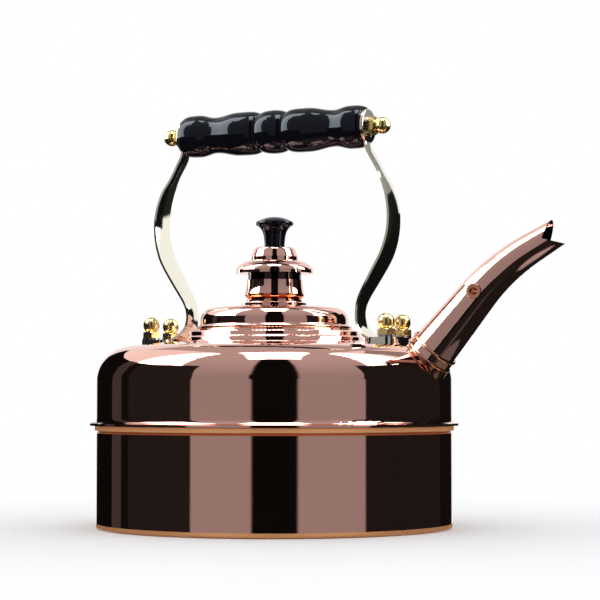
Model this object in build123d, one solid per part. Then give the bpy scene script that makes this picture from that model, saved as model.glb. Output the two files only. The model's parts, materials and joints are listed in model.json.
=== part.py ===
from build123d import *
from math import asin, cos, degrees, radians, sin, sqrt, tan
import os

# A copper stovetop kettle. A drawn lower shell and a domed upper shell meet at a rolled seam.
# A stepped lid lifts off by its black knob, under a fixed handle of two bent brass straps that
# carry a turned grip. A bent, tapered spout holds a hinged whistle flap.
# The origin is the centre of the base's underside, +X points at the spout and +Z is up.
# All sizes are in millimetres.

# Sheet and fits
SHEET = 1.2                # copper sheet of the shells
RUNNING_CLEARANCE = 0.08   # radial, between the whistle flap's sleeve and its pin
THREAD_CLEARANCE = 0.05    # radial, between a stud and what it passes through or screws into
LID_CLEARANCE = 0.5        # radial, between the lid's skirt and the throat
FLAP_GAP = 0.4             # between the closed whistle flap and its seat

# Body
BODY_R = 95.0
HEM_H = 2.6
HEM_CORNER_R = 1.2
BASE_UPSTAND_H = 9.0
LOWER_SHELL_TOP = 50.2
JOGGLE_H = 1.2
SPIGOT_TOP = 62.0
SEAM_BAND_BOTTOM = 51.5
SEAM_BAND_TOP = 54.2
SEAM_BAND_PROUD = 0.8
FLANGE_R = 98.6
FLANGE_FLARE_R = 2.7
SHOULDER_BOTTOM = 77.9
SHOULDER_R = 18.4
CROWN_R = 620.0

# Collar round the filling hole
THROAT_R = 36.0
COLLAR_R = 47.4
COLLAR_BASE_TOP = 101.5
COLLAR_BAND_R = 46.3
COLLAR_SEAT_TOP = 104.4
COLLAR_LIP_R = 42.0
COLLAR_LIP_TOP = 105.2
COLLAR_ROUND_R = 0.8       # rounding of the collar's two outer steps
COLLAR_TAIL = 5.0

# Lid
LID_FLANGE_R = 41.6
LID_FLANGE_H = 1.9
LID_FLANGE_TURN_R = 0.9
LID_DOME_R = 39.7
LID_DOME_TOP = 119.0
LID_DOME_SHOULDER_R = 6.6
LID_DOME_CROWN_R = 260.0
LID_SKIRT_H = 13.0
NECK_FOOT_R = 17.6
NECK_FOOT_EDGE_H = 0.4
NECK_STEP_R = 15.2
NECK_STEP_BOTTOM = 120.3
NECK_FOOT_TOP = 121.1
NECK_GROOVE_R = 14.2
NECK_GROOVE_TOP = 121.7
NECK_CUP_R = 16.0
NECK_CUP_BOTTOM = 124.3
NECK_CUP_RIM_R = 15.0
NECK_CUP_TOP = 131.9
NECK_RECESS_R = 14.3
CAP_R = 20.8
CAP_BOTTOM = 135.4
CAP_RIM_H = 1.0
CAP_BEND_R = 19.0          # a point on the cap's rounded shoulder
CAP_BEND_Z = 139.8
CAP_TOP = 142.5
CONE_BOTTOM_R = 12.6
CONE_TOP_R = 10.5
CONE_TOP = 149.6
CONE_RIM_H = 1.9
CONE_ROUND_R = 2.2
KNOB_STEM_R = 5.4
KNOB_MIDDLE_R = 5.75
KNOB_MIDDLE_H = 4.6
KNOB_NECK_R = 6.75
KNOB_NECK_H = 8.8
KNOB_R = 9.9
KNOB_FLARE_H = 11.8
KNOB_RIM_H = 1.9
KNOB_TOP = 166.1
KNOB_STUD_R = 2.5
KNOB_STUD_GRIP = 9.0
KNOB_STUD_TAIL = 7.0
KNOB_NUT_AF = 9.0
KNOB_NUT_H = 3.5
KNOB_WASHER_R = 8.0
KNOB_WASHER_H = 1.2

# Handle straps
GRIP_Z = 212.0
STRAP_FOOT_TOP = 100.3
STRAP_T = 2.2
STRAP_EDGE_T = 1.2
FOOT_END_X = 75.0
FOOT_W = 32.0
FOOT_L = 17.0
FOOT_CORNER_R = 5.5
FOOT_T = 2.0
STRAP_WRIST_X = 50.2
STRAP_BOW_X = 69.4
STRAP_SLOPE = 31.0         # degrees from upright, below the bow
STRAP_TOP_SLOPE = 29.0     # degrees from upright, above the bow
STRAP_FOOT_BEND_R = 13.0
STRAP_WRIST_BEND_R = 22.0
STRAP_BOW_BEND_R = 46.0
STRAP_TOP_BEND_R = 12.0
STRAP_FOOT_END_W = 22.0
STRAP_WRIST_W = 11.5
STRAP_HIP_W = 18.0
STRAP_BOW_W = 15.6
STRAP_NECK_W = 8.6
STRAP_PAD_R = 9.2
STRAP_STATIONS = 22

# Grip
GRIP_L = 107.0
GRIP_END_R = 10.3
GRIP_END_BULGE_R = 11.5
GRIP_WAIST_R = 9.8
GRIP_BULGE_R = 11.8
GRIP_GROOVE_R = 9.9
GRIP_BEAD_R = 11.8
GRIP_END_BULGE_X = 45.5
GRIP_WAIST_X = 35.5
GRIP_BULGE_X = 20.5
GRIP_GROOVE_X = 8.0
GRIP_ROD_R = 2.0
GRIP_BORE_CLEARANCE = 0.4

# Ball nuts, studs and washers
BALL_R = 4.5
BALL_RISE = 3.6            # from the hexagon's top to the ball's centre
BALL_NECK_R = 3.1
NUT_AF = 9.0
NUT_H = 3.2
NUT_BORE_DEPTH = 6.0
STUD_R = 2.0
STUD_END_GAP = 0.6
DRILL_L = 20.0             # length of the drills for stud and rod holes
STUD_HEAD_R = 4.0
STUD_HEAD_H = 2.0
FOOT_STUD_X = 69.6
FOOT_STUD_Y = 10.8
FOOT_WASHER_R = 4.9
FOOT_WASHER_H = 1.2
GRIP_WASHER_R = 4.9
GRIP_WASHER_H = 0.6
SPOT_FACE_R = 5.5          # flat spot on a strap round each nut
SPOT_FACE_H = 3.0
BACKING_L = 18.0
BACKING_W = 34.0
BACKING_T = 1.8

# Spout
SPOUT_INSET = 2.5          # the spout's root line starts this far inside the drum's side
SPOUT_RISE = 16.6          # and this far above the foot of the shoulder
SPOUT_START_X = BODY_R - SPOUT_INSET
SPOUT_START_Z = SHOULDER_BOTTOM + SPOUT_RISE
SPOUT_HEADING = 48.8       # degrees above level at the root
SPOUT_TURN = 19.9          # degrees by which it bends towards level
SPOUT_STRAIGHT = 35.6
SPOUT_BEND_R = 106.3
SPOUT_NOSE = 17.0
SPOUT_ROOT_R = 11.8
SPOUT_TIP_R = 6.95
SPOUT_WALL = 1.0
SPOUT_SINK = 20.0
MOUTH_DEPTH = 7.4
FERRULE_WALL = 0.6
FERRULE_H = 4.9
FERRULE_BEAD_R = 0.7
FERRULE_FLARE = 1.2        # how far the ferrule's foot widens
FERRULE_FOOT_H = 13.0

# Whistle
WHISTLE_AT = 38.0          # along the spout from its root line
WHISTLE_PIN_R = 2.5
WHISTLE_PIN_BORE_R = 1.8
WHISTLE_LIP_R = 4.0
WHISTLE_LIP_H = 0.9
WHISTLE_DISH_R = 2.9
WHISTLE_DISH_DEPTH = 1.4
FLAP_RIM_GAP = 0.8
FLAP_T = 1.0
FLAP_SLEEVE_WALL = 0.9
FLAP_SLEEVE_GAP = 1.2
CAPSULE_R = 1.9
CAPSULE_H = 2.6
CAPSULE_HOLE_R = 0.6
SEAT_T = 1.2
SEAT_W = 1.6
SEAT_HALF_ANGLE = 45.0

PARTS = {}


def spun(face):
    """Turn a face drawn with x as radius and y as height into a solid about the kettle's axis."""
    return revolve(Plane.XZ * face, Axis.Z)


def sheet_of(line, thickness):
    """Thicken an outline, drawn from the outside up and inwards, to the sheet behind it."""
    return make_face(offset(line, amount=thickness, side=Side.LEFT, closed=True))


def rims_over(solid, radius):
    """The round edges of a solid whose radius is over a value."""
    return solid.edges().filter_by(GeomType.CIRCLE).filter_by(lambda edge: edge.radius > radius)


def tube(radius, bore, bottom, top):
    """A plain ring about the kettle's axis."""
    return spun(Pos((radius + bore) / 2, (bottom + top) / 2) * Rectangle(radius - bore, top - bottom))


# Body

def crown_start():
    """Radius and height where the rounded shoulder runs into the crown."""
    slope = asin((BODY_R - SHOULDER_R) / (CROWN_R - SHOULDER_R))
    radius = BODY_R - SHOULDER_R + SHOULDER_R * sin(slope)
    return radius, SHOULDER_BOTTOM + SHOULDER_R * cos(slope), slope


def crown_z(radius, inset=0):
    """Height at a radius of the crown's outer face, or of a face inset behind it."""
    start_r, start_z, slope = crown_start()
    return start_z - CROWN_R * cos(slope) + sqrt((CROWN_R - inset) ** 2 - radius ** 2)


def shell_line(inner_r):
    """The upper shell's outer line, from the seam flange up to a radius on the crown."""
    start_r, start_z, slope = crown_start()
    flange_z = SEAM_BAND_TOP + SHEET
    rim = Line((FLANGE_R, flange_z), (BODY_R + FLANGE_FLARE_R, flange_z))
    flare = JernArc(rim @ 1, (-1, 0), FLANGE_FLARE_R, -90)
    wall = Line(flare @ 1, (BODY_R, SHOULDER_BOTTOM))
    shoulder = JernArc(wall @ 1, (0, 1), SHOULDER_R, 90 - degrees(slope))
    mid_r = (start_r + inner_r) / 2
    crown = ThreePointArc(shoulder @ 1, (mid_r, crown_z(mid_r)), (inner_r, crown_z(inner_r)))
    return Wire([rim, flare, wall, shoulder, crown])


def body_solid(inset):
    """The room inside the upper shell's outer face, brought in by an inset."""
    start_r, start_z, slope = crown_start()
    bottom = (BODY_R - inset, HEM_H)
    wall = Line(bottom, (BODY_R - inset, SHOULDER_BOTTOM))
    shoulder = JernArc(wall @ 1, (0, 1), SHOULDER_R - inset, 90 - degrees(slope))
    mid_r = start_r / 2
    crown = ThreePointArc(shoulder @ 1, (mid_r, crown_z(mid_r, inset)), (0, crown_z(0, inset)))
    close = Polyline(crown @ 1, (0, HEM_H), bottom)
    return spun(make_face(Wire([wall, shoulder, crown, *close.edges()])))


def base_plate():
    """The pan that closes the body: a disc, a hem under the shell and an upstand inside it."""
    inside = BODY_R - SHEET
    profile = Polyline((0, 0), (BODY_R, 0), (BODY_R, HEM_H), (inside, HEM_H), (inside, BASE_UPSTAND_H),
                       (inside - SHEET, BASE_UPSTAND_H), (inside - SHEET, SHEET), (0, SHEET), close=True)
    face = make_face(profile)
    corner = face.vertices().sort_by(Axis.X)[-2:].sort_by(Axis.Y)[0]
    return spun(fillet(corner, HEM_CORNER_R))


def lower_shell():
    """The straight drum, with a joggled spigot that the upper shell slips over."""
    spigot_r = BODY_R - SHEET
    line = Polyline((BODY_R, HEM_H), (BODY_R, LOWER_SHELL_TOP), (spigot_r, LOWER_SHELL_TOP + JOGGLE_H),
                    (spigot_r, SPIGOT_TOP))
    return spun(sheet_of(line, SHEET))


def seam_band():
    """The band round the spigot, under the upper shell's flange."""
    band = tube(BODY_R + SEAM_BAND_PROUD, BODY_R - SHEET, SEAM_BAND_BOTTOM, SEAM_BAND_TOP)
    return fillet(rims_over(band, BODY_R), SEAM_BAND_PROUD / 2)


def upper_shell():
    """The domed top, open for the collar, the studs and the spout."""
    shell = spun(sheet_of(shell_line(THROAT_R), SHEET))
    shell -= Pos(0, 0, crown_z(THROAT_R)) * Cylinder(THROAT_R + SHEET, DRILL_L)
    for place in stud_places():
        shell -= Pos(place.X, place.Y, crown_z(FOOT_STUD_X)) * Cylinder(STUD_R + THREAD_CLEARANCE, DRILL_L)
    return shell - spout_solid(0)


def lid_collar():
    """The stepped ring brazed into the filling hole, with the lip that the lid rests on."""
    tail = crown_z(THROAT_R) - COLLAR_TAIL
    inside = THROAT_R + SHEET
    line = Polyline((COLLAR_R, crown_z(COLLAR_R) - SHEET), (COLLAR_R, COLLAR_BASE_TOP),
                    (COLLAR_BAND_R, COLLAR_BASE_TOP), (COLLAR_BAND_R, COLLAR_SEAT_TOP),
                    (COLLAR_LIP_R, COLLAR_SEAT_TOP), (COLLAR_LIP_R, COLLAR_LIP_TOP), (THROAT_R, COLLAR_LIP_TOP),
                    (THROAT_R, tail), (inside, tail), (inside, crown_z(COLLAR_R) - SHEET), close=True)
    ring = spun(make_face(line))
    ring -= body_solid(0) - tube(inside, THROAT_R, tail, COLLAR_LIP_TOP)
    steps = rims_over(ring, COLLAR_LIP_R + 1).filter_by_position(Axis.Z, COLLAR_BASE_TOP, COLLAR_LIP_TOP)
    base = [edge for edge in steps if edge.radius > COLLAR_R - RUNNING_CLEARANCE]
    band = [edge for edge in steps if edge.center().Z > COLLAR_SEAT_TOP - RUNNING_CLEARANCE]
    return fillet(base + band, COLLAR_ROUND_R)


# Lid

def lid_dome():
    """The lid's flange and low dome, drawn from one sheet."""
    base = COLLAR_LIP_TOP
    rim = Line((LID_FLANGE_R, base + LID_FLANGE_H), (LID_DOME_R + LID_FLANGE_TURN_R, base + LID_FLANGE_H))
    turn = JernArc(rim @ 1, (-1, 0), LID_FLANGE_TURN_R, -90)
    lean = asin((LID_DOME_R - LID_DOME_SHOULDER_R) / (LID_DOME_CROWN_R - LID_DOME_SHOULDER_R))
    rise = LID_DOME_SHOULDER_R * cos(lean)
    crown_r = LID_DOME_R - LID_DOME_SHOULDER_R + LID_DOME_SHOULDER_R * sin(lean)
    drop = LID_DOME_CROWN_R * (1 - cos(lean))
    wall = Line(turn @ 1, (LID_DOME_R, LID_DOME_TOP - drop - rise))
    shoulder = JernArc(wall @ 1, (0, 1), LID_DOME_SHOULDER_R, 90 - degrees(lean))
    half = sin(lean / 2) * LID_DOME_CROWN_R
    middle = (half, LID_DOME_TOP - LID_DOME_CROWN_R * (1 - cos(lean / 2)))
    crown = ThreePointArc(shoulder @ 1, middle, (0, LID_DOME_TOP))
    inner_top = (0, LID_DOME_TOP - SHEET)
    inner_shoulder = JernArc((LID_DOME_R - SHEET, (wall @ 1).Y), (0, 1), LID_DOME_SHOULDER_R - SHEET,
                             90 - degrees(lean))
    inner_crown = ThreePointArc(inner_shoulder @ 1, (middle[0], middle[1] - SHEET), inner_top)
    foot = Polyline(inner_shoulder @ 0, (LID_DOME_R - SHEET, base), (LID_FLANGE_R, base), rim @ 0)
    face = make_face(Wire([rim, turn, wall, shoulder, crown, Line(crown @ 1, inner_top), inner_crown,
                           inner_shoulder, *foot.edges()]))
    dome = spun(face)
    dome = fillet(rims_over(dome, LID_FLANGE_R - RUNNING_CLEARANCE), 0.4 * LID_FLANGE_H)
    return dome - lid_bore()


def lid_skirt():
    """The plug ring under the lid that keeps it central in the throat."""
    outer = THROAT_R - LID_CLEARANCE
    bottom = COLLAR_LIP_TOP - LID_SKIRT_H
    inside = LID_DOME_R - SHEET - THREAD_CLEARANCE
    line = Polyline((outer, bottom), (outer, COLLAR_LIP_TOP), (inside, COLLAR_LIP_TOP),
                    (inside, COLLAR_LIP_TOP + SHEET), (outer - SHEET, COLLAR_LIP_TOP + SHEET),
                    (outer - SHEET, bottom), close=True)
    return spun(make_face(line))


def lid_neck():
    """The turned neck: a spread foot, a groove and a cup that widens downwards, with a recess above."""
    foot_z = LID_DOME_TOP
    foot = Line((NECK_FOOT_R, foot_z), (NECK_FOOT_R, foot_z + NECK_FOOT_EDGE_H))
    sweep_in = Spline(foot @ 1, (NECK_STEP_R, NECK_STEP_BOTTOM), tangents=((-1, 0), (0, 1)))
    step = Polyline(sweep_in @ 1, (NECK_STEP_R, NECK_FOOT_TOP), (NECK_GROOVE_R, NECK_FOOT_TOP),
                    (NECK_GROOVE_R, NECK_GROOVE_TOP))
    under = Spline(step @ 1, (NECK_CUP_R, NECK_CUP_BOTTOM), tangents=((1, 0.8), (0, 1)))
    cup = Spline(under @ 1, (NECK_CUP_RIM_R, NECK_CUP_TOP), tangents=((-0.25, 1), (0, 1)))
    rest = Polyline(cup @ 1, (NECK_RECESS_R, NECK_CUP_TOP), (NECK_RECESS_R, CAP_BOTTOM), (0, CAP_BOTTOM),
                    (0, foot_z - SHEET), (NECK_FOOT_R, foot_z - SHEET), foot @ 0)
    neck = spun(make_face(Wire([foot, sweep_in, *step.edges(), under, cup, *rest.edges()])))
    neck -= body_of_dome_top()
    return neck - lid_bore()


def lid_bore():
    """The hole down the lid's stack for the knob's stud."""
    bottom = LID_DOME_TOP - LID_DOME_SHOULDER_R
    top = CONE_TOP + KNOB_STUD_GRIP
    return Pos(0, 0, (bottom + top) / 2) * Cylinder(KNOB_STUD_R + THREAD_CLEARANCE, top - bottom)


def body_of_dome_top():
    """A block whose top is the lid dome's crown, for trimming what stands on it."""
    block = Pos(0, 0, LID_DOME_TOP - LID_DOME_CROWN_R) * Sphere(LID_DOME_CROWN_R)
    return block & (Pos(0, 0, LID_DOME_TOP) * Box(4 * NECK_FOOT_R, 4 * NECK_FOOT_R, 4 * SHEET))


def lid_cap():
    """The wide domed cap over the neck."""
    edge = (CAP_R, CAP_BOTTOM + CAP_RIM_H)
    top = (CONE_BOTTOM_R, CAP_TOP)
    dome = Spline(edge, (CAP_BEND_R, CAP_BEND_Z), top, tangents=((0, 1), (-1, 0.12)))
    close = Polyline(top, (0, CAP_TOP), (0, CAP_BOTTOM), (CAP_R, CAP_BOTTOM), edge)
    cap = spun(make_face(Wire([dome, *close.edges()])))
    return cap - lid_bore()


def lid_cone():
    """The small rounded cone under the knob, with an upright rim at its foot."""
    profile = Polyline((0, CAP_TOP), (CONE_BOTTOM_R, CAP_TOP), (CONE_BOTTOM_R, CAP_TOP + CONE_RIM_H),
                       (CONE_TOP_R, CONE_TOP), (0, CONE_TOP), close=True)
    cone = spun(make_face(profile))
    shoulder = cone.edges().filter_by(GeomType.CIRCLE).group_by(Axis.Z)[-1]
    return fillet(shoulder, CONE_ROUND_R) - lid_bore()


def lid_knob():
    """The trumpet-shaped knob with a thin rim and a domed top, bored from below for its stud."""
    middle = (KNOB_MIDDLE_R, CONE_TOP + KNOB_MIDDLE_H)
    neck = (KNOB_NECK_R, CONE_TOP + KNOB_NECK_H)
    rim = (KNOB_R, CONE_TOP + KNOB_FLARE_H)
    crown_foot = (KNOB_R, CONE_TOP + KNOB_FLARE_H + KNOB_RIM_H)
    side = Spline((KNOB_STEM_R, CONE_TOP), middle, neck, rim, tangents=((0, 1), (1, 0.5)))
    lip = ThreePointArc(rim, (KNOB_R + KNOB_RIM_H / 8, CONE_TOP + KNOB_FLARE_H + KNOB_RIM_H / 2), crown_foot)
    crown = Spline(crown_foot, (0, KNOB_TOP), tangents=((-0.85, 0.5), (-1, 0)))
    close = Polyline((0, KNOB_TOP), (0, CONE_TOP), (KNOB_STEM_R, CONE_TOP))
    knob = spun(make_face(Wire([side, lip, crown, *close.edges()])))
    return knob - lid_bore()


def knob_stud():
    """The stud that clamps the knob, cone, cap, neck and dome together."""
    bottom = LID_DOME_TOP - SHEET - KNOB_STUD_TAIL
    top = CONE_TOP + KNOB_STUD_GRIP - STUD_END_GAP
    return Pos(0, 0, (bottom + top) / 2) * Cylinder(KNOB_STUD_R, top - bottom)


def knob_washer():
    """The washer under the lid's dome."""
    top = LID_DOME_TOP - SHEET
    ring = Cylinder(KNOB_WASHER_R, KNOB_WASHER_H) - Cylinder(KNOB_STUD_R + THREAD_CLEARANCE, 4 * KNOB_WASHER_H)
    inner_crown = Pos(0, 0, LID_DOME_TOP - LID_DOME_CROWN_R) * Sphere(LID_DOME_CROWN_R - SHEET)
    return Pos(0, 0, top - KNOB_WASHER_H / 2) * ring & inner_crown


def knob_nut():
    """The hexagon nut under the washer."""
    top = LID_DOME_TOP - SHEET - KNOB_WASHER_H
    blank = extrude(RegularPolygon(KNOB_NUT_AF / 2, 6, major_radius=False), KNOB_NUT_H)
    nut = blank - Cylinder(KNOB_STUD_R + THREAD_CLEARANCE, 4 * KNOB_NUT_H)
    return Pos(0, 0, top - KNOB_NUT_H) * nut


# Handle

def strap_line():
    """The strap's middle line in X and Z: foot, wrist, bow and the upright at the grip."""
    foot_z = STRAP_FOOT_TOP - STRAP_T / 2
    low, high = radians(STRAP_SLOPE), radians(STRAP_TOP_SLOPE)
    pad_x = GRIP_L / 2 + STRAP_T / 2
    foot = Line((FOOT_END_X - STRAP_T, foot_z), (STRAP_WRIST_X + STRAP_FOOT_BEND_R, foot_z))
    heel = JernArc(foot @ 1, (-1, 0), STRAP_FOOT_BEND_R, -90)
    wrist = JernArc(heel @ 1, (0, 1), STRAP_WRIST_BEND_R, -STRAP_SLOPE)
    bow_depth = (STRAP_WRIST_BEND_R + STRAP_BOW_BEND_R) * (1 - cos(low))
    rise = (STRAP_BOW_X - STRAP_WRIST_X - bow_depth) / sin(low)
    slope = Line(wrist @ 1, wrist @ 1 + Vector(sin(low), cos(low)) * rise)
    bow = JernArc(slope @ 1, (sin(low), cos(low)), STRAP_BOW_BEND_R, STRAP_SLOPE + STRAP_TOP_SLOPE)
    run = ((bow @ 1).X - pad_x - STRAP_TOP_BEND_R * (1 - cos(high))) / sin(high)
    lean = Line(bow @ 1, bow @ 1 + Vector(-sin(high), cos(high)) * run)
    top = JernArc(lean @ 1, (-sin(high), cos(high)), STRAP_TOP_BEND_R, -STRAP_TOP_SLOPE)
    upright = Line(top @ 1, (pad_x, GRIP_Z))
    return [foot, heel, wrist, slope, bow, lean, top, upright]


def strap_widths():
    """Width of the strap at each joint of its middle line, as (edge number, width) stations."""
    return ((0, STRAP_FOOT_END_W), (1, STRAP_FOOT_END_W), (2, STRAP_WRIST_W), (4, STRAP_HIP_W),
            (4.55, STRAP_BOW_W), (5.3, STRAP_NECK_W), (7, STRAP_NECK_W), (8, STRAP_NECK_W))


def width_at(position):
    """Width between two stations, eased so that the strap's edge has no corner."""
    stations = strap_widths()
    for (start, width), (end, next_width) in zip(stations, stations[1:]):
        if position <= end:
            share = (position - start) / (end - start)
            ease = share * share * (3 - 2 * share)
            return width + (next_width - width) * ease
    return stations[-1][1]


def strap_section(width):
    """The strap's cross-section: crowned on both faces, with upright edges."""
    half_w, edge, crown = width / 2, STRAP_EDGE_T / 2, STRAP_T / 2
    outer = ThreePointArc((-half_w, edge), (0, crown), (half_w, edge))
    inner = ThreePointArc((half_w, -edge), (0, -crown), (-half_w, -edge))
    right = Line(outer @ 1, inner @ 0)
    left = Line(inner @ 1, outer @ 0)
    return make_face(Wire([outer, right, inner, left]))


def strap(side):
    """One bent strap: a drilled foot plate, the crowned band and the round pad at the grip."""
    edges = strap_line()
    lengths = [edge.length for edge in edges]
    total = sum(lengths)
    sections = []
    for number in range(STRAP_STATIONS + 1):
        left = total * number / STRAP_STATIONS
        index = 0
        while index < len(edges) - 1 and left > lengths[index]:
            left -= lengths[index]
            index += 1
        share = min(left / lengths[index], 1)
        point, heading = edges[index] @ share, edges[index] % share
        plane = Plane(origin=(point.X, 0, point.Y), x_dir=(0, 1, 0), z_dir=(heading.X, 0, heading.Y))
        sections.append(plane * strap_section(width_at(index + share)))
    band = loft(sections)
    pad_axis = Plane(origin=(GRIP_L / 2, 0, GRIP_Z), z_dir=(1, 0, 0))
    pad = extrude(pad_axis * Circle(STRAP_PAD_R), STRAP_T)
    pad = fillet(pad.edges(), STRAP_T / 4)
    band -= Pos(GRIP_L / 4, 0, GRIP_Z) * Box(GRIP_L / 2, 3 * STRAP_PAD_R, 3 * STRAP_PAD_R)
    plate_x = FOOT_END_X - FOOT_L / 2
    blank = Pos(plate_x, 0) * RectangleRounded(FOOT_L, FOOT_W, FOOT_CORNER_R)
    depth = STRAP_FOOT_TOP - crown_z(FOOT_END_X) + FOOT_T
    plate = Pos(0, 0, STRAP_FOOT_TOP - depth) * extrude(blank, depth)
    whole = band + plate + pad - body_solid(0)
    along_grip = Rot(0, 90, 0)
    whole -= Pos(GRIP_L / 2, 0, GRIP_Z) * along_grip * Cylinder(GRIP_ROD_R + THREAD_CLEARANCE, DRILL_L)
    whole -= (Pos(GRIP_L / 2 + STRAP_T + SPOT_FACE_H / 2, 0, GRIP_Z) * along_grip
              * Cylinder(SPOT_FACE_R, SPOT_FACE_H))
    for y in (-FOOT_STUD_Y, FOOT_STUD_Y):
        whole -= Pos(FOOT_STUD_X, y, STRAP_FOOT_TOP) * Cylinder(STUD_R + THREAD_CLEARANCE, DRILL_L)
        whole -= Pos(FOOT_STUD_X, y, STRAP_FOOT_TOP + SPOT_FACE_H / 2) * Cylinder(SPOT_FACE_R, SPOT_FACE_H)
    if side < 0:
        whole = whole.mirror(Plane.YZ)
    return whole


def grip():
    """The turned grip: a centre bead between two grooves, long swells and rounded ends."""
    end_x = GRIP_L / 2
    level, down, up = (1, 0), (0.8, -0.6), (0.7, 0.7)
    groove, swell_top = (GRIP_GROOVE_X, GRIP_GROOVE_R), (GRIP_BULGE_X, GRIP_BULGE_R)
    waist, end_swell = (GRIP_WAIST_X, GRIP_WAIST_R), (GRIP_END_BULGE_X, GRIP_END_BULGE_R)
    bead = Spline((0, GRIP_BEAD_R), groove, tangents=(level, down))
    swell = Spline(groove, swell_top, tangents=(up, level))
    fall = Spline(swell_top, waist, tangents=(level, level))
    rise = Spline(waist, end_swell, tangents=(level, level))
    shoulder = Spline(end_swell, (end_x, GRIP_END_R), tangents=(level, down))
    close = Polyline(shoulder @ 1, (end_x, 0), (0, 0), bead @ 0)
    outline = Wire([bead, swell, fall, rise, shoulder, *close.edges()])
    half = revolve(Plane.XZ * make_face(outline), Axis.X)
    whole = half + half.mirror(Plane.YZ)
    bore = Rot(0, 90, 0) * Cylinder(GRIP_ROD_R + GRIP_BORE_CLEARANCE, 2 * GRIP_L)
    return Pos(0, 0, GRIP_Z) * (whole - bore)


def tie_rod():
    """The rod through the grip, with a ball nut on each end."""
    reach = GRIP_L / 2 + STRAP_T + GRIP_WASHER_H + NUT_BORE_DEPTH - STUD_END_GAP
    return Pos(0, 0, GRIP_Z) * Rot(0, 90, 0) * Cylinder(GRIP_ROD_R, 2 * reach)


def ball_nut():
    """A hexagon nut that ends in a ball, with a blind thread. It stands on its hexagon, +Z up."""
    blank = extrude(RegularPolygon(NUT_AF / 2, 6, major_radius=False), NUT_H)
    corner_r = NUT_AF / 2 / cos(radians(30))
    chamfered = Pos(0, 0, NUT_H / 2) * Cylinder(corner_r - 0.05, NUT_H)
    chamfered = chamfer(chamfered.edges().group_by(Axis.Z)[-1], 0.5)
    neck = Pos(0, 0, (NUT_H + BALL_RISE) / 2) * Cylinder(BALL_NECK_R, NUT_H + BALL_RISE)
    ball = Pos(0, 0, NUT_H + BALL_RISE) * Sphere(BALL_R)
    bore = Pos(0, 0, NUT_BORE_DEPTH / 2) * Cylinder(STUD_R + THREAD_CLEARANCE, NUT_BORE_DEPTH)
    return (blank & chamfered) + neck + ball - bore


def grip_washer():
    """The thin washer under a grip ball nut, lying on +Z."""
    ring = Cylinder(GRIP_WASHER_R, GRIP_WASHER_H) - Cylinder(GRIP_ROD_R + THREAD_CLEARANCE, DRILL_L)
    return Pos(0, 0, GRIP_WASHER_H / 2) * ring


def grip_end_place(side, out):
    """Where a fastener stands outside a strap's pad, at a distance out from the pad's face."""
    x = GRIP_L / 2 + STRAP_T + out
    return Pos(side * x, 0, GRIP_Z) * Rot(0, side * 90, 0)


# Foot fasteners

def stud_places():
    """The four stud centres, in plan."""
    return [Vector(x, y) for x in (-FOOT_STUD_X, FOOT_STUD_X) for y in (-FOOT_STUD_Y, FOOT_STUD_Y)]


def backing_bottom():
    """Height of the flat underside of the plates inside the shell."""
    return crown_z(FOOT_STUD_X + BACKING_L / 2) - SHEET - BACKING_T


def backing_plate(side):
    """The stiffening plate inside the shell, shaped to the crown, under one strap foot."""
    bottom = backing_bottom()
    blank = Pos(side * FOOT_STUD_X, 0) * RectangleRounded(BACKING_L, BACKING_W, FOOT_CORNER_R)
    plate = Pos(0, 0, bottom) * extrude(blank, STRAP_FOOT_TOP - bottom) & body_solid(SHEET)
    for place in stud_places():
        plate -= Pos(place.X, place.Y, bottom) * Cylinder(STUD_R + THREAD_CLEARANCE, DRILL_L)
    return plate


def foot_stud():
    """A stud with a round head under the backing plate. Its head's top is at z = 0."""
    length = STRAP_FOOT_TOP + FOOT_WASHER_H + NUT_BORE_DEPTH - STUD_END_GAP - backing_bottom()
    shank = Pos(0, 0, length / 2) * Cylinder(STUD_R, length)
    head = Pos(0, 0, -STUD_HEAD_H / 2) * Cylinder(STUD_HEAD_R, STUD_HEAD_H)
    head = fillet(head.edges().group_by(Axis.Z)[0], STUD_HEAD_H / 3)
    return shank + head


def foot_washer():
    """The lock washer under a foot ball nut."""
    ring = Cylinder(FOOT_WASHER_R, FOOT_WASHER_H) - Cylinder(STUD_R + THREAD_CLEARANCE, DRILL_L)
    return Pos(0, 0, FOOT_WASHER_H / 2) * ring


# Spout

def spout_path(back, front):
    """The spout's centre line, lengthened past its root line and cut back from its tip."""
    heading, turn = radians(SPOUT_HEADING), radians(SPOUT_TURN)
    out = Vector(cos(heading), sin(heading))
    start = Vector(SPOUT_START_X, SPOUT_START_Z)
    root = Line(start - out * back, start + out * SPOUT_STRAIGHT)
    bend = JernArc(root @ 1, out, SPOUT_BEND_R, -SPOUT_TURN)
    ahead = Vector(cos(heading - turn), sin(heading - turn))
    nose = Line(bend @ 1, bend @ 1 + ahead * (SPOUT_NOSE + front))
    return Plane.XZ * Wire([root, bend, nose])


def spout_length():
    """Length of the centre line from the root line to the tip."""
    return SPOUT_STRAIGHT + SPOUT_BEND_R * radians(SPOUT_TURN) + SPOUT_NOSE


def spout_radius(along):
    """Outer radius at a distance along the spout from its root line."""
    return SPOUT_ROOT_R + (SPOUT_TIP_R - SPOUT_ROOT_R) * along / spout_length()


def spout_plane(along):
    """A plane across the spout at a distance along it, its x axis being the kettle's Y."""
    path = spout_path(SPOUT_SINK, 0)
    share = (along + SPOUT_SINK) / path.length
    return Plane(origin=path @ share, x_dir=(0, 1, 0), z_dir=path % share)


def spout_solid(inset):
    """The spout as a full taper, brought in by an inset and run a little past the tip."""
    extra = 2.0 if inset else 0.0
    path = spout_path(SPOUT_SINK + extra, extra)
    ends = []
    for share, along in ((0, -SPOUT_SINK - extra), (1, spout_length() + extra)):
        plane = Plane(origin=path @ share, x_dir=(0, 1, 0), z_dir=path % share)
        ends.append(plane * Circle(spout_radius(along) - inset))
    return sweep(ends, path=path, multisection=True)


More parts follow.
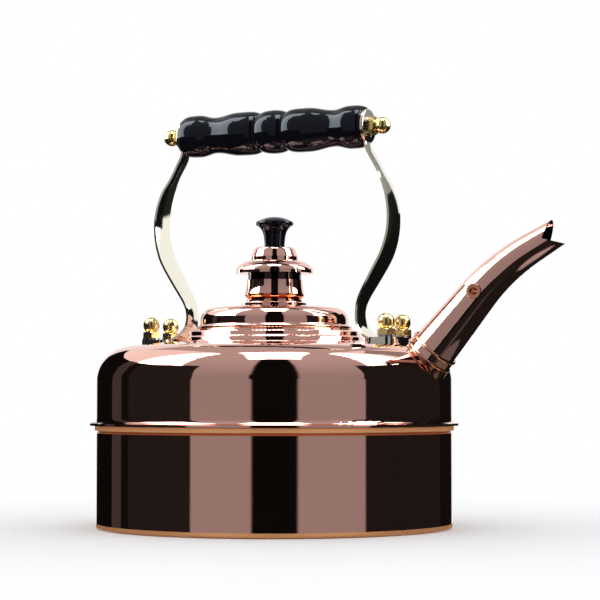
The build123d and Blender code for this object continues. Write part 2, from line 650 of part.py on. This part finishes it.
def mouth_notch():
    """The wedge cut from both sides of the tip, which leaves an upper and a lower lip."""
    tip = spout_plane(spout_length())
    reach = 3.0
    half = (spout_radius(spout_length()) * (MOUTH_DEPTH + reach)) / MOUTH_DEPTH
    apex = tip.origin - tip.z_dir * MOUTH_DEPTH
    side = tip.y_dir * half
    top = tip.origin + tip.z_dir * reach + side
    bottom = tip.origin + tip.z_dir * reach - side
    face = make_face(Polyline(apex, top, bottom, close=True))
    return extrude(face, SPOUT_ROOT_R, both=True, dir=(0, 1, 0))


def spout_tube():
    """The bent taper, trimmed to the body's inner face and notched at its mouth."""
    tube_wall = spout_solid(0) - spout_solid(SPOUT_WALL) - body_solid(SHEET) - mouth_notch()
    place = spout_plane(WHISTLE_AT).origin
    return tube_wall - Pos(place) * Rot(90, 0, 0) * Cylinder(WHISTLE_PIN_R + THREAD_CLEARANCE, 4 * SPOUT_ROOT_R)


def ferrule_radius(along):
    """Outer radius of the ferrule's band, which follows the spout's taper."""
    return spout_radius(along) + FERRULE_WALL


def spout_ferrule():
    """The collar at the spout's root: a short band between two beads, and a foot that widens to the body."""
    root = spout_plane(0)
    foot = -FERRULE_H - FERRULE_FOOT_H
    top, low = (ferrule_radius(0), 0), (ferrule_radius(-FERRULE_H), -FERRULE_H)
    profile = make_face(Polyline((0, 0), top, low, (ferrule_radius(foot) + FERRULE_FLARE, foot), (0, foot),
                                 close=True))
    profile += Pos(*top) * Circle(FERRULE_BEAD_R) + Pos(*low) * Circle(FERRULE_BEAD_R)
    across = Plane(origin=root.origin, x_dir=(0, 1, 0), z_dir=root.z_dir)
    ring = revolve(across * (Plane.XZ * profile), Axis(root.origin, root.z_dir))
    return ring - spout_solid(0) - body_solid(0)


# Whistle

def whistle_pin():
    """The tubular rivet across the spout, with a dished lip on each side."""
    place = spout_plane(WHISTLE_AT).origin
    half = spout_radius(WHISTLE_AT)
    reach = half + WHISTLE_LIP_H / 2
    pin = Cylinder(WHISTLE_PIN_R, 2 * reach)
    for side in (-1, 1):
        pin += Pos(0, 0, side * reach) * Cylinder(WHISTLE_LIP_R, WHISTLE_LIP_H)
        pin -= Pos(0, 0, side * (reach + WHISTLE_LIP_H / 2)) * Cylinder(WHISTLE_DISH_R - 0.7, 2 * WHISTLE_DISH_DEPTH)
    pin = fillet(rims_over(pin, WHISTLE_LIP_R - 0.1), WHISTLE_LIP_H / 3)
    pin -= Cylinder(WHISTLE_PIN_BORE_R, 4 * reach)
    return Pos(place) * Rot(90, 0, 0) * pin - (spout_solid(0) - spout_solid(SPOUT_WALL) - pin_hole())


def pin_hole():
    """The hole for the rivet through both walls of the spout."""
    place = spout_plane(WHISTLE_AT).origin
    return Pos(place) * Rot(90, 0, 0) * Cylinder(WHISTLE_PIN_R + THREAD_CLEARANCE, 4 * SPOUT_ROOT_R)


def flap_radius():
    """Radius of the whistle flap's disc."""
    return spout_radius(WHISTLE_AT) - SPOUT_WALL - FLAP_RIM_GAP


def whistle_flap():
    """The disc that closes the bore, on a sleeve that turns on the rivet."""
    plane = spout_plane(WHISTLE_AT)
    sleeve_r = WHISTLE_PIN_R + RUNNING_CLEARANCE + FLAP_SLEEVE_WALL
    sleeve_half = flap_radius() - FLAP_SLEEVE_GAP
    disc = plane * Cylinder(flap_radius(), FLAP_T)
    sleeve = Pos(plane.origin) * Rot(90, 0, 0) * Cylinder(sleeve_r, 2 * sleeve_half)
    bore = Pos(plane.origin) * Rot(90, 0, 0) * Cylinder(WHISTLE_PIN_R + RUNNING_CLEARANCE, 4 * sleeve_half)
    return disc + sleeve - bore - capsule_blank(CAPSULE_HOLE_R)


def capsule_blank(radius):
    """A short round bar through the flap's lower half, across the disc."""
    plane = spout_plane(WHISTLE_AT)
    sleeve_r = WHISTLE_PIN_R + RUNNING_CLEARANCE + FLAP_SLEEVE_WALL
    down = (sleeve_r + flap_radius()) / 2
    return plane * (Pos(0, -down if plane.y_dir.Z > 0 else down, 0) * Cylinder(radius, 4 * CAPSULE_H))


def whistle_capsule():
    """The small drilled sound cup on the flap's outer face, which also weighs the flap shut."""
    plane = spout_plane(WHISTLE_AT)
    slab = plane * (Pos(0, 0, FLAP_T / 2 + CAPSULE_H / 2) * Cylinder(2 * flap_radius(), CAPSULE_H))
    cup = (capsule_blank(CAPSULE_R) & slab) - capsule_blank(CAPSULE_HOLE_R)
    return cup


def whistle_seat():
    """The part ring in the spout's lower half that the closed flap rests on."""
    gap = FLAP_T / 2 + FLAP_GAP
    plane = spout_plane(WHISTLE_AT - gap - SEAT_T / 2)
    inner = flap_radius() + FLAP_RIM_GAP - SEAT_W
    blank = spout_solid(SPOUT_WALL) & (plane * Cylinder(2 * SPOUT_ROOT_R, SEAT_T))
    blank -= plane * Cylinder(inner, 4 * SEAT_T)
    spread = tan(radians(SEAT_HALF_ANGLE)) * 2 * SPOUT_ROOT_R
    down = -1 if plane.y_dir.Z > 0 else 1
    wedge = Polyline((0, 0), (spread, down * 2 * SPOUT_ROOT_R), (-spread, down * 2 * SPOUT_ROOT_R), close=True)
    return blank & extrude(plane * make_face(wedge), 2 * SEAT_T, both=True)


def add(name, solid):
    """Keep one named piece."""
    PARTS[name] = solid


def build():
    """Make every piece in its place."""
    add("base_plate", base_plate())
    add("lower_shell", lower_shell())
    add("seam_band", seam_band())
    add("upper_shell", upper_shell())
    add("lid_collar", lid_collar())
    add("lid_dome", lid_dome())
    add("lid_skirt", lid_skirt())
    add("lid_neck", lid_neck())
    add("lid_cap", lid_cap())
    add("lid_cone", lid_cone())
    add("lid_knob", lid_knob())
    add("knob_stud", knob_stud())
    add("knob_washer", knob_washer())
    add("knob_nut", knob_nut())
    add("strap_spout_side", strap(1))
    add("strap_rear", strap(-1))
    add("grip", grip())
    add("tie_rod", tie_rod())
    for side, end in ((1, "spout_side"), (-1, "rear")):
        add(f"grip_washer_{end}", grip_end_place(side, 0) * grip_washer())
        add(f"grip_nut_{end}", grip_end_place(side, GRIP_WASHER_H) * ball_nut())
        add(f"backing_plate_{end}", backing_plate(side))
    for place in stud_places():
        end = "spout_side" if place.X > 0 else "rear"
        hand = "left" if place.Y > 0 else "right"
        name = f"{end}_{hand}"
        add(f"foot_stud_{name}", Pos(place.X, place.Y, backing_bottom()) * foot_stud())
        add(f"foot_washer_{name}", Pos(place.X, place.Y, STRAP_FOOT_TOP) * foot_washer())
        add(f"foot_nut_{name}", Pos(place.X, place.Y, STRAP_FOOT_TOP + FOOT_WASHER_H) * ball_nut())
    add("spout_tube", spout_tube())
    add("spout_ferrule", spout_ferrule())
    add("whistle_pin", whistle_pin())
    add("whistle_flap", whistle_flap())
    add("whistle_capsule", whistle_capsule())
    add("whistle_seat", whistle_seat())


build()
os.makedirs("parts", exist_ok=True)
for name, solid in PARTS.items():
    export_step(solid, f"parts/{name}.step")
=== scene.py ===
import json
from math import cos, radians, sin

import bpy
from mathutils import Matrix, Vector

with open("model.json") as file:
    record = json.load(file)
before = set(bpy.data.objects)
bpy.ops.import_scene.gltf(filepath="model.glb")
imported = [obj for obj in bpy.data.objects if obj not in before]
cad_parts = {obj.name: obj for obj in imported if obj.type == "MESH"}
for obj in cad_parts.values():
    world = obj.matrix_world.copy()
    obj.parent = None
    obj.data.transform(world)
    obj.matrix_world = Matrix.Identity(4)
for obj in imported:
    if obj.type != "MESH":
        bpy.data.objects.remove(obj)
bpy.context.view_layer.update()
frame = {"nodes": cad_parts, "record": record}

# The photograph's view, fitted to the kettle's foot, flange and handle.
VIEW_AZIMUTH = 26.2        # degrees, the camera stands this far round from the front towards the spout
VIEW_DISTANCE = 1.1056
VIEW_HEIGHT = 0.0688
VIEW_PITCH = 2.72
VIEW_YAW = 0.707
VIEW_NEAREST = 0.01
VIEW_FARTHEST = 50.0
FOCAL_PIXELS = 2061.0
PHOTO_PIXELS = 600.0
SENSOR = 36.0

# Colours of the metals, the lacquer and the floor, and of the painted glow and shade on some parts
COPPER = (0.93, 0.535, 0.455)
# orange: partly the satin seam band's and hem's own colour and partly painted light reflected from the
# copper beside them; also the painted glow of undersides
ORANGE_AND_PAINTED_GLOW = (0.97, 0.46, 0.20)
PALE_BRASS = (0.90, 0.87, 0.74)
YELLOW_BRASS = (0.90, 0.70, 0.30)
INNER_BRASS = (0.80, 0.60, 0.30)
RIVET = (0.80, 0.40, 0.26)
# a painted glow of reflected copper light in the lid neck's groove
PAINTED_GROOVE_GLOW = (0.80, 0.24, 0.10)
# painted shade in the lid neck's recess under the cap
PAINTED_RECESS_SHADE = (0.05, 0.03, 0.03)
STEEL = (0.46, 0.50, 0.56)
BLACK = (0.003, 0.003, 0.005)
FLOOR_WHITE = (0.95, 0.96, 0.97)
PURE_WHITE = (1.0, 1.0, 1.0)

# The studio that polished metal shows. Angles are in degrees round from the camera, towards the image's
# right, and above level. A brightness of 1 is white paper. Each EDGE is how wide a change of brightness is.
SLOT_HALF = 14.5           # the dark opening that the camera looks through
SLOT_TOP = 67.0
SLOT_DARK = 0.004
SLOT_SIDE_EDGE = 1.0       # to each side of the line
SLOT_TOP_EDGE = 3.0
PANEL_GREY = 0.33          # the grey panels on each side of it, which grow paler towards the ceiling
CEILING_GREY = 0.50
CEILING_FROM = 70.0        # and have its grey from here up
SKIRT_FROM = 58.0          # from here round to the back it is dark below level
SKIRT_EDGE = 3.0
LEVEL_EDGE = 3.0           # the change at level, which lies below it
BACKDROP = 0.95
BACKDROP_FROM = 155.0      # the white backdrop shows behind the object
BACKDROP_TOP = 38.0
BACKDROP_SIDE_EDGE = 2.0   # to each side of the line
BACKDROP_TOP_EDGE = 4.0    # above and below the line

SIDE_BOX = 7.0             # the bright side boxes, beyond the panels and over the flags
SIDE_BOX_BACK = 1.0        # and their weaker back part, from here on to their end
SIDE_BOX_BACK_FROM = 112.0
SIDE_BOX_BACK_EDGE = 6.0
SIDE_BOX_END = 158.0
SIDE_BOX_END_EDGE = 4.0
SIDE_BOX_FRONT = (0.339, -0.620, -0.162)   # planes that bound them: sideways, towards the camera, up
SIDE_BOX_ROOF = (0.473, 0.094, -0.152)
SIDE_BOX_PLANE_EDGE = 0.008                # to each side of those planes

# These lengths are shares of the sky's radius.
TOP_BOX = 8.0              # a bright strip straight over the camera's side of the object
TOP_BOX_HALF = 0.19
TOP_BOX_FRONT = 0.37
TOP_BOX_BACK = -0.10
TOP_BOX_EDGE = 0.02
TOP_BOX_BACK_EDGE = 0.03
TOP_BOX_LOW = 0.5          # none of it lies lower than this, and it is whole from the next
TOP_BOX_WHOLE = 0.6

FLOOR_FROM = -22.0         # below this the metal sees a dark table
FLOOR_EDGE = 4.0
FLOOR_DARK = 0.016
FLOOR_SIDE = 0.14          # and a paler one to the object's right, between these shares of the radius
FLOOR_SIDE_FROM = 0.2
FLOOR_SIDE_TO = 0.5
NADIR_FROM = -60.0         # and straight down it sees the lit floor under the object
NADIR_EDGE = 8.0
NADIR_GLOW = 0.42

# Upright curved cards round the object, in metres
FLAG_REACH = 0.220
FLAG_FOOT = -0.03
FLAG_TOP = 0.19
TALL_FLAG_MIDDLE = 0.24    # the tall pair's dark part ends here, and its grey part at the next
TALL_FLAG_TOP = 0.42
FLAG_STEP = 3.0            # degrees to each flat of a flag
# Each row: start and end in degrees, brightness, foot and top
FLAGS = (
    (-42.4, -85.7, 0.016, FLAG_FOOT, FLAG_TOP),
    (-85.7, -92.9, 0.006, FLAG_FOOT, FLAG_TOP),
    (-92.9, -103.9, 0.05, FLAG_FOOT, FLAG_TOP),
    (-103.9, -140.0, 0.004, FLAG_FOOT, FLAG_TOP),
    (46.5, 106.7, 0.014, FLAG_FOOT, FLAG_TOP),
    (106.7, 137.0, 0.006, FLAG_FOOT, FLAG_TOP),
    (100.0, 124.0, 0.008, FLAG_TOP, TALL_FLAG_MIDDLE),
    (100.0, 124.0, 0.30, TALL_FLAG_MIDDLE, TALL_FLAG_TOP),
)

# The floor, which melts into the white background between two distances from the axis
FLOOR_FADE_FROM = 0.16
FLOOR_FADE_TO = 0.42
FLOOR_HALF = 6.0
FLOOR_DROP = 0.0002        # keeps it clear of the base
FLOOR_ROUGHNESS = 0.9

# Marks on the finishes. Scales are marks to the metre, layers are finer marks within them, and a span is
# the part of the noise that counts.
SMEAR_SCALE = 35.0
SMEAR_LAYERS = 4.0
SMEAR_ROUGH = 0.6
SMEAR_SPAN = (0.35, 0.7)
SMEAR_GAIN = 1.9           # the roughest smear is this much rougher
CLOUD_SCALE = 9.0
CLOUD_LAYERS = 3.0
CLOUD_SPAN = (0.4, 0.75)
TARNISHED = (0.86, 0.78, 0.72)   # full tarnish keeps these shares of red, green and blue
LINE_SCALE = 40.0
LINE_LAYERS = 3.0
LINE_STRETCH = (1.0, 1.0, 60.0)
GRAIN_SCALE = 900.0
GRAIN_LAYERS = 2.0
METAL_MARKS = 0.2          # strength of lines and grain
MARK_DEPTH = 0.0002
WIPE_SCALE = 60.0
WIPE_LAYERS = 5.0
PEEL_SCALE = 240.0
PEEL_LAYERS = 1.0
PEEL_MARKS = 0.04
LACQUER_ROUGHNESS = (0.03, 0.08)
LACQUER_GLOSS = 0.3
# a blue tint painted into the lacquer's reflections gives its highlights a bluish light
LACQUER_PAINTED_HIGHLIGHT_TINT = (0.72, 0.84, 1.0)

# Painted light on some parts. A face that leans down takes a painted orange glow, the light reflected from
# the copper below it, between these two slopes.
PAINTED_GLOW_FROM = -0.15
PAINTED_GLOW_FULL = -0.75
# Painted bands on the lid's neck: a red-orange glow of reflected copper light in its groove, and painted
# shade in its recess under the cap
NECK_PAINTED_GLOW_SPAN = (0.1211, 0.1243)   # metres above the base
NECK_PAINTED_SHADE_SPAN = (0.1319, 0.1354)
STRETCH_EDGE = 0.0002
COLLAR_LIFT = 0.42         # how far the collar's gloss is tipped upward


def camera_axes():
    """The image's right and the way to the camera, level, in the row frame."""
    turn = radians(VIEW_AZIMUTH)
    return Vector((cos(turn), sin(turn), 0)), Vector((sin(turn), -cos(turn), 0))


def set_camera():
    """The camera at the photograph's place, aim and lens."""
    aim = radians(VIEW_AZIMUTH - VIEW_YAW)
    pitch = radians(VIEW_PITCH)
    forward = Vector((-sin(aim), cos(aim), 0)) * cos(pitch) + Vector((0, 0, sin(pitch)))
    right = Vector((cos(aim), sin(aim), 0))
    data = bpy.data.cameras.new("camera")
    data.sensor_width = SENSOR
    data.lens = FOCAL_PIXELS / PHOTO_PIXELS * SENSOR
    data.clip_start = VIEW_NEAREST
    data.clip_end = VIEW_FARTHEST
    camera = bpy.data.objects.new("camera", data)
    bpy.context.scene.collection.objects.link(camera)
    turned = Matrix((right, right.cross(forward), -forward)).transposed().to_4x4()
    turned.translation = camera_axes()[1] * VIEW_DISTANCE + Vector((0, 0, VIEW_HEIGHT))
    camera.matrix_world = turned
    bpy.context.scene.camera = camera


class Nodes:
    """A short way to write a node tree."""

    def __init__(self, tree):
        self.tree = tree

    def add(self, kind, values=None, **settings):
        """One node, with its settings, and its sockets set or linked by name or number."""
        node = self.tree.nodes.new(kind)
        for name, value in settings.items():
            setattr(node, name, value)
        for socket, value in (values or {}).items():
            if isinstance(value, bpy.types.NodeSocket):
                self.tree.links.new(value, node.inputs[socket])
            else:
                node.inputs[socket].default_value = value
        return node

    def math(self, operation, *values):
        """The result of one sum."""
        return self.add("ShaderNodeMath", dict(enumerate(values)), operation=operation).outputs[0]

    def step(self, value, start, end):
        """0 before start and 1 after end, or the other way round where end is the smaller."""
        values = {0: value, 1: start, 2: end, 3: 0.0, 4: 1.0}
        return self.add("ShaderNodeMapRange", values, interpolation_type="SMOOTHSTEP").outputs[0]

    def spread(self, value, span, low, high):
        """low where value is at the span's start, high at its end, and even between."""
        values = {0: value, 1: span[0], 2: span[1], 3: low, 4: high}
        return self.add("ShaderNodeMapRange", values).outputs[0]

    def both(self, first, second):
        """Two shares at once."""
        return self.math("MULTIPLY", first, second)

    def blend(self, share, first, second):
        """first where share is 0, second where it is 1."""
        return self.add("ShaderNodeMix", {0: share, 2: first, 3: second}).outputs[0]

    def stain(self, share, under, colour):
        """under where share is 0, the colour where it is 1."""
        values = {0: share, 6: under, 7: (*colour, 1)}
        return self.add("ShaderNodeMix", values, data_type="RGBA").outputs[2]

    def along(self, way, axis):
        """How far a direction goes along an axis."""
        node = self.add("ShaderNodeVectorMath", {0: way, 1: tuple(axis)}, operation="DOT_PRODUCT")
        return node.outputs["Value"]

    def noise(self, where, scale, layers, rough=0.5):
        """Cloudy noise of about 0 to 1."""
        values = {"Vector": where, "Scale": scale, "Detail": layers, "Roughness": rough}
        return self.add("ShaderNodeTexNoise", values).outputs["Fac"]


def walls(n, around, high):
    """The grey panels, the dark skirt beside them and the white backdrop behind the object."""
    panel = n.blend(n.step(high, 0, CEILING_FROM), PANEL_GREY, CEILING_GREY)
    beside = n.step(around, SKIRT_FROM, SKIRT_FROM + SKIRT_EDGE)
    room = n.blend(n.both(beside, n.step(high, 0, -LEVEL_EDGE)), panel, FLOOR_DARK)
    behind = n.step(around, BACKDROP_FROM - BACKDROP_SIDE_EDGE, BACKDROP_FROM + BACKDROP_SIDE_EDGE)
    room = n.blend(behind, room, BACKDROP)
    over = n.step(high, BACKDROP_TOP - BACKDROP_TOP_EDGE, BACKDROP_TOP + BACKDROP_TOP_EDGE)
    return n.blend(over, room, panel)


def side_boxes(n, room, around, high, sideways):
    """The room with a bright box on each side."""
    edge = SIDE_BOX_PLANE_EDGE
    past_front = n.step(n.along(sideways, SIDE_BOX_FRONT), -edge, edge)
    under_roof = n.step(n.along(sideways, SIDE_BOX_ROOF), -edge, edge)
    box = n.both(past_front, under_roof)
    box = n.both(box, n.step(around, SIDE_BOX_END, SIDE_BOX_END - SIDE_BOX_END_EDGE))
    box = n.both(box, n.step(high, -LEVEL_EDGE, 0))
    back = n.step(around, SIDE_BOX_BACK_FROM, SIDE_BOX_BACK_FROM + SIDE_BOX_BACK_EDGE)
    return n.blend(box, room, n.blend(back, SIDE_BOX, SIDE_BOX_BACK))


def top_box(n, room, across, near, up):
    """The room with the bright strip overhead."""
    width = n.math("ABSOLUTE", across)
    middle = n.step(width, TOP_BOX_HALF + TOP_BOX_EDGE, TOP_BOX_HALF - TOP_BOX_EDGE)
    front = n.step(near, TOP_BOX_FRONT + TOP_BOX_EDGE, TOP_BOX_FRONT)
    back = n.step(near, TOP_BOX_BACK, TOP_BOX_BACK + TOP_BOX_BACK_EDGE)
    strip = n.both(middle, n.both(front, back))
    return n.blend(n.both(strip, n.step(up, TOP_BOX_LOW, TOP_BOX_WHOLE)), room, TOP_BOX)


def slot(n, room, around, high):
    """The room with the dark opening that the camera looks through."""
    side = n.step(around, SLOT_HALF + SLOT_SIDE_EDGE, SLOT_HALF - SLOT_SIDE_EDGE)
    return n.blend(n.both(side, n.step(high, SLOT_TOP, SLOT_TOP - SLOT_TOP_EDGE)), room, SLOT_DARK)


def table_below(n, room, across, high):
    """The room with the table under it."""
    table = n.blend(n.step(across, FLOOR_SIDE_FROM, FLOOR_SIDE_TO), FLOOR_DARK, FLOOR_SIDE)
    table = n.blend(n.step(high, NADIR_FROM, NADIR_FROM - NADIR_EDGE), table, NADIR_GLOW)
    return n.blend(n.step(high, FLOOR_FROM, FLOOR_FROM - FLOOR_EDGE), room, table)


def studio(n, way):
    """Brightness of the polished metal's surroundings in a direction."""
    right, toward = camera_axes()
    across = n.along(way, right)
    near = n.along(way, toward)
    up = n.along(way, (0, 0, 1))
    around = n.math("DEGREES", n.math("ABSOLUTE", n.math("ARCTAN2", across, near)))
    high = n.math("DEGREES", n.math("ARCSINE", up))
    sideways = n.add("ShaderNodeCombineXYZ", {0: n.math("ABSOLUTE", across), 1: near, 2: up}).outputs[0]

    room = walls(n, around, high)
    room = side_boxes(n, room, around, high, sideways)
    room = top_box(n, room, across, near, up)
    room = slot(n, room, around, high)
    return table_below(n, room, across, high)


def set_world():
    """White behind the object, plain light on matt surfaces, and the studio in what metal reflects."""
    world = bpy.data.worlds.new("studio")
    bpy.context.scene.world = world
    world.use_nodes = True
    world.node_tree.nodes.clear()
    n = Nodes(world.node_tree)
    grey = studio(n, n.add("ShaderNodeTexCoord").outputs["Generated"])
    colour = n.add("ShaderNodeCombineColor", {0: grey, 1: grey, 2: grey}).outputs[0]
    mirror = n.add("ShaderNodeBackground", {"Color": colour, "Strength": 1.0})
    plain = n.add("ShaderNodeBackground", {"Color": (*PURE_WHITE, 1), "Strength": 1.0})
    glossy = n.add("ShaderNodeLightPath").outputs["Is Glossy Ray"]
    mixed = n.add("ShaderNodeMixShader", {0: glossy, 1: plain.outputs[0], 2: mirror.outputs[0]})
    n.add("ShaderNodeOutputWorld", {"Surface": mixed.outputs[0]})


def staged(name, points, faces, material):
    """A mesh that belongs to the studio and not to the object."""
    mesh = bpy.data.meshes.new(name)
    mesh.from_pydata(points, [], faces)
    mesh.materials.append(material)
    thing = bpy.data.objects.new(name, mesh)
    bpy.context.scene.collection.objects.link(thing)
    return thing


def start_material(name):
    """A new material, a way to write its nodes, and its main shader."""
    material = bpy.data.materials.new(name)
    material.use_nodes = True
    n = Nodes(material.node_tree)
    return material, n, n.tree.nodes["Principled BSDF"]


def set_floor():
    """A white floor that melts into the background and keeps the kettle's shadow."""
    material, n, shader = start_material("floor_white")
    shader.inputs["Base Color"].default_value = (*FLOOR_WHITE, 1)
    shader.inputs["Roughness"].default_value = FLOOR_ROUGHNESS
    shader.inputs["Specular IOR Level"].default_value = 0.0
    where = n.add("ShaderNodeTexCoord").outputs["Object"]
    away = n.add("ShaderNodeVectorMath", {0: where}, operation="LENGTH").outputs["Value"]
    fade = n.step(away, FLOOR_FADE_FROM, FLOOR_FADE_TO)
    white = n.add("ShaderNodeEmission", {"Color": (*PURE_WHITE, 1), "Strength": 1.0})
    mixed = n.add("ShaderNodeMixShader", {0: fade, 1: shader.outputs[0], 2: white.outputs[0]})
    n.tree.links.new(mixed.outputs[0], n.tree.nodes["Material Output"].inputs["Surface"])
    half = FLOOR_HALF
    corners = [(-half, -half, 0), (half, -half, 0), (half, half, 0), (-half, half, 0)]
    floor = staged("floor", corners, [(0, 1, 2, 3)], material)
    floor.location = (0, 0, -FLOOR_DROP)
    floor.visible_glossy = False


def card_material(name, grey):
    """An even glow."""
    material = bpy.data.materials.new(name)
    material.use_nodes = True
    material.node_tree.nodes.clear()
    n = Nodes(material.node_tree)
    card = n.add("ShaderNodeEmission", {"Color": (grey, grey, grey, 1), "Strength": 1.0})
    n.add("ShaderNodeOutputMaterial", {"Surface": card.outputs[0]})
    return material


def set_flag(number, start, end, grey, foot, top):
    """An upright curved card that only polished metal sees."""
    right, toward = camera_axes()
    flats = max(2, round(abs(end - start) / FLAG_STEP))
    points = []
    for index in range(flats + 1):
        angle = radians(start + (end - start) * index / flats)
        place = (right * sin(angle) + toward * cos(angle)) * FLAG_REACH
        points += [place + Vector((0, 0, foot)), place + Vector((0, 0, top))]
    faces = [(2 * i, 2 * i + 2, 2 * i + 3, 2 * i + 1) for i in range(flats)]
    name = f"flag_{number}"
    flag = staged(name, points, faces, card_material(name, grey))
    flag.visible_camera = False
    flag.visible_diffuse = False
    flag.visible_transmission = False
    flag.visible_shadow = False


def metal_colour(n, where, colour, tarnish, glow, painted_bands):
    """The metal's colour with its clouds of tarnish, a painted glow on its undersides and painted bands of
    reflected light or shade along its height.
    """
    clouds = n.spread(n.noise(where, CLOUD_SCALE, CLOUD_LAYERS), CLOUD_SPAN, 0.0, tarnish)
    dark = tuple(channel * share for channel, share in zip(colour, TARNISHED))
    shown = n.stain(clouds, (*colour, 1), dark)
    # painted reflection: faces that lean down take the orange of the copper light they would reflect
    if glow:
        facing = n.along(n.add("ShaderNodeNewGeometry").outputs["Normal"], (0, 0, 1))
        shown = n.stain(n.step(facing, PAINTED_GLOW_FROM, PAINTED_GLOW_FULL), shown, glow)
    # painted light and shade in bands of height
    for (bottom, top), tint in painted_bands:
        height = n.add("ShaderNodeSeparateXYZ", {0: where}).outputs["Z"]
        over_bottom = n.step(height, bottom - STRETCH_EDGE, bottom)
        under_top = n.step(height, top + STRETCH_EDGE, top)
        shown = n.stain(n.both(over_bottom, under_top), shown, tint)
    return shown


def lifted(n, lift):
    """The surface's direction tipped upward, as if its upright walls were sloped."""
    facing = n.add("ShaderNodeNewGeometry").outputs["Normal"]
    tipped = n.add("ShaderNodeVectorMath", {0: facing, 1: (0, 0, lift)}, operation="ADD").outputs[0]
    return n.add("ShaderNodeVectorMath", {0: tipped}, operation="NORMALIZE").outputs[0]


def marked(n, height, strength):
    """The surface's direction with fine marks of this height."""
    values = {"Height": height, "Strength": strength, "Distance": MARK_DEPTH}
    return n.add("ShaderNodeBump", values).outputs[0]


def metal(name, colour, roughness, tarnish=0.0, lines=0.0, grain=0.0, glow=None, metallic=1.0, painted_bands=(),
          lift=0.0):
    """Polished metal: faint smears in its gloss, fine turning lines and a little tarnish.

    glow is the colour of the painted glow on its undersides, standing in for reflected copper light, and
    each band of its height is painted with a colour of reflected light or shade. lift tips its gloss
    upward, in place of lines and grain.
    """
    material, n, shader = start_material(name)
    shader.inputs["Metallic"].default_value = metallic
    where = n.add("ShaderNodeTexCoord").outputs["Object"]
    smears = n.noise(where, SMEAR_SCALE, SMEAR_LAYERS, SMEAR_ROUGH)
    gloss = n.spread(smears, SMEAR_SPAN, roughness, roughness * SMEAR_GAIN)
    n.tree.links.new(gloss, shader.inputs["Roughness"])
    n.tree.links.new(metal_colour(n, where, colour, tarnish, glow, painted_bands), shader.inputs["Base Color"])
    if lift:
        n.tree.links.new(lifted(n, lift), shader.inputs["Normal"])
    elif lines or grain:
        stretched = n.add("ShaderNodeMapping", {"Vector": where, "Scale": LINE_STRETCH}).outputs[0]
        turned = n.math("MULTIPLY", n.noise(stretched, LINE_SCALE, LINE_LAYERS), lines)
        height = n.math("MULTIPLY_ADD", n.noise(where, GRAIN_SCALE, GRAIN_LAYERS), grain, turned)
        n.tree.links.new(marked(n, height, METAL_MARKS), shader.inputs["Normal"])
    return material


def lacquer(name, colour):
    """Deep gloss black with a faint orange-peel skin and fine wiping marks."""
    material, n, shader = start_material(name)
    shader.inputs["Base Color"].default_value = (*colour, 1)
    shader.inputs["Specular IOR Level"].default_value = LACQUER_GLOSS
    # painted highlight colour: the reflections are tinted blue
    shader.inputs["Specular Tint"].default_value = (*LACQUER_PAINTED_HIGHLIGHT_TINT, 1)
    where = n.add("ShaderNodeTexCoord").outputs["Object"]
    gloss = n.spread(n.noise(where, WIPE_SCALE, WIPE_LAYERS), SMEAR_SPAN, *LACQUER_ROUGHNESS)
    n.tree.links.new(gloss, shader.inputs["Roughness"])
    peel = n.noise(where, PEEL_SCALE, PEEL_LAYERS)
    n.tree.links.new(marked(n, peel, PEEL_MARKS), shader.inputs["Normal"])
    return material


set_camera()
set_world()
set_floor()
for number, flag_sizes in enumerate(FLAGS):
    set_flag(number, *flag_sizes)

MATERIALS = {
    # polished copper takes a painted orange glow on its undersides
    "polished_copper": metal("copper_mirror", COPPER, 0.025, tarnish=0.2, lines=0.25, glow=ORANGE_AND_PAINTED_GLOW),
    # the satin seam band's orange is partly its own finish and partly a painted reflection of the copper
    # beside it
    "satin_copper": metal("copper_satin", ORANGE_AND_PAINTED_GLOW, 0.30, tarnish=0.3, lines=1.0, grain=0.6, metallic=0.4),
    "strap_brass": metal("brass_pale", PALE_BRASS, 0.06, tarnish=0.3, grain=0.3),
    "nut_brass": metal("brass_yellow", YELLOW_BRASS, 0.15, tarnish=0.25, grain=0.2),
    "whistle_brass": metal("brass_inner", INNER_BRASS, 0.2, tarnish=0.5, grain=0.6),
    "fastener_steel": metal("steel_bright", STEEL, 0.16, tarnish=0.2, grain=0.4),
    "black_gloss": lacquer("black_lacquer", BLACK),
}
# Pieces that look different from the rest of their slot
# the lid's neck has a painted glow in its groove and painted shade in its recess
NECK_PAINTED_BANDS = ((NECK_PAINTED_GLOW_SPAN, PAINTED_GROOVE_GLOW), (NECK_PAINTED_SHADE_SPAN, PAINTED_RECESS_SHADE))
OWN = {
    "lid_neck": metal("copper_neck", COPPER, 0.03, tarnish=0.2, lines=0.25, glow=ORANGE_AND_PAINTED_GLOW, painted_bands=NECK_PAINTED_BANDS),
    "lid_collar": metal("copper_collar", COPPER, 0.03, tarnish=0.2, glow=ORANGE_AND_PAINTED_GLOW, lift=COLLAR_LIFT),
    "spout_tube": metal("copper_spout", COPPER, 0.025, tarnish=0.2, lines=0.15),
    "whistle_pin": metal("copper_rivet", RIVET, 0.12, tarnish=0.4, grain=0.2),
    # the hem's orange is partly its own finish and partly a painted reflection of the copper and floor
    # beside it
    "base_plate": metal("copper_hem", ORANGE_AND_PAINTED_GLOW, 0.25, tarnish=0.3, lines=0.6, grain=0.3, metallic=0.55),
}
SLOT_OF = {row["node"]: row["material_slot"] for row in frame["record"]["subparts"]}
for name, node in frame["nodes"].items():
    node.data.materials.clear()
    node.data.materials.append(OWN.get(name) or MATERIALS[SLOT_OF[name]])

bpy.context.scene.view_settings.view_transform = "Standard"
